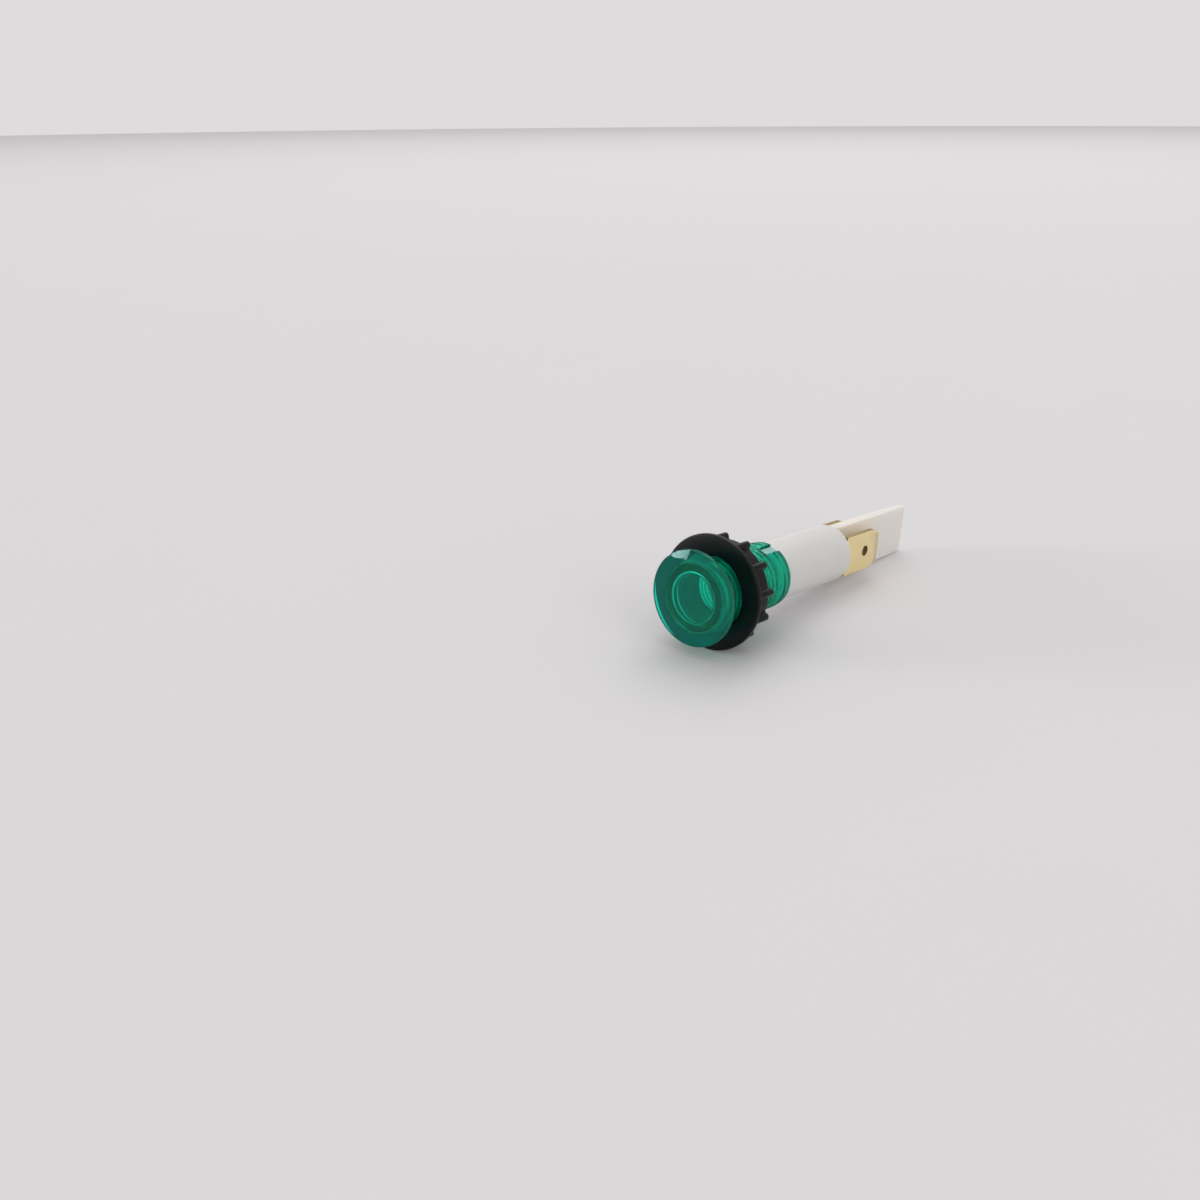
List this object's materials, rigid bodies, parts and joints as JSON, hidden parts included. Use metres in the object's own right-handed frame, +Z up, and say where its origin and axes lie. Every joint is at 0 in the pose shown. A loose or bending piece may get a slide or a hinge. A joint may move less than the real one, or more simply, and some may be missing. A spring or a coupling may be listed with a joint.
{
  "type": "panel pilot light",
  "caption": "Round green pilot light for a panel hole: flat lens on a threaded barrel, ribbed nut and washer, white tubular lamp holder with a long tongue between blade terminals.",
  "frame": {"origin": "on the light's axis, in the plane of the lens face that seats on the panel", "axes": "+Y along the light's axis from the lens to the blade terminals, +Z up with the tongue and blades upright, +X to the right of someone who faces the back of the lens from the lens side"},
  "size_m": [0.0166, 0.0571, 0.0166],
  "materials": {
    "green_lens": "polished transparent green polycarbonate",
    "black_plastic": "moulded black nylon with a soft sheen",
    "white_nylon": "natural translucent nylon",
    "brass": "stamped brass sheet",
    "clear_glass": "blown clear glass",
    "nickel": "plain nickel rod",
    "tinned_wire": "tinned copper",
    "sleeving": "soft woven sleeving, plain",
    "resistor_lacquer": "beige lacquer",
    "solder": "bright solder"
  },
  "bodies": {
    "body": {"lens_barrel": "green_lens", "lamp_holder": "white_nylon", "terminal_blade_left": "brass", "terminal_blade_right": "brass", "lamp_glass": "clear_glass", "electrode_left": "nickel", "electrode_right": "nickel", "lamp_wire_left": "tinned_wire", "lamp_wire_right": "tinned_wire", "crimp_ferrule": "tinned_wire", "insulating_sleeve": "sleeving", "resistor_body": "resistor_lacquer", "resistor_wire_front": "tinned_wire", "resistor_wire_back": "tinned_wire", "solder_left": "solder", "solder_right": "solder"},
    "washer": {"panel_washer": "black_plastic"},
    "nut": {"clamp_nut": "black_plastic"}
  },
  "joints": [
    {"name": "washer_travel", "type": "slide", "parent": "body", "child": "washer", "axis": [0, 1, 0], "range_m": [-0.00326, 0.00721]},
    {"name": "nut_turn", "type": "hinge", "parent": "washer", "child": "nut", "pos_m": [0, 0.0042, 0], "axis": [0, 1, 0], "range_deg": [-1176, 2598]}
  ],
  "couplings": [
    {"joint": "nut_turn", "follows": "washer_travel", "rad_per_m": 6283.2}
  ]
}
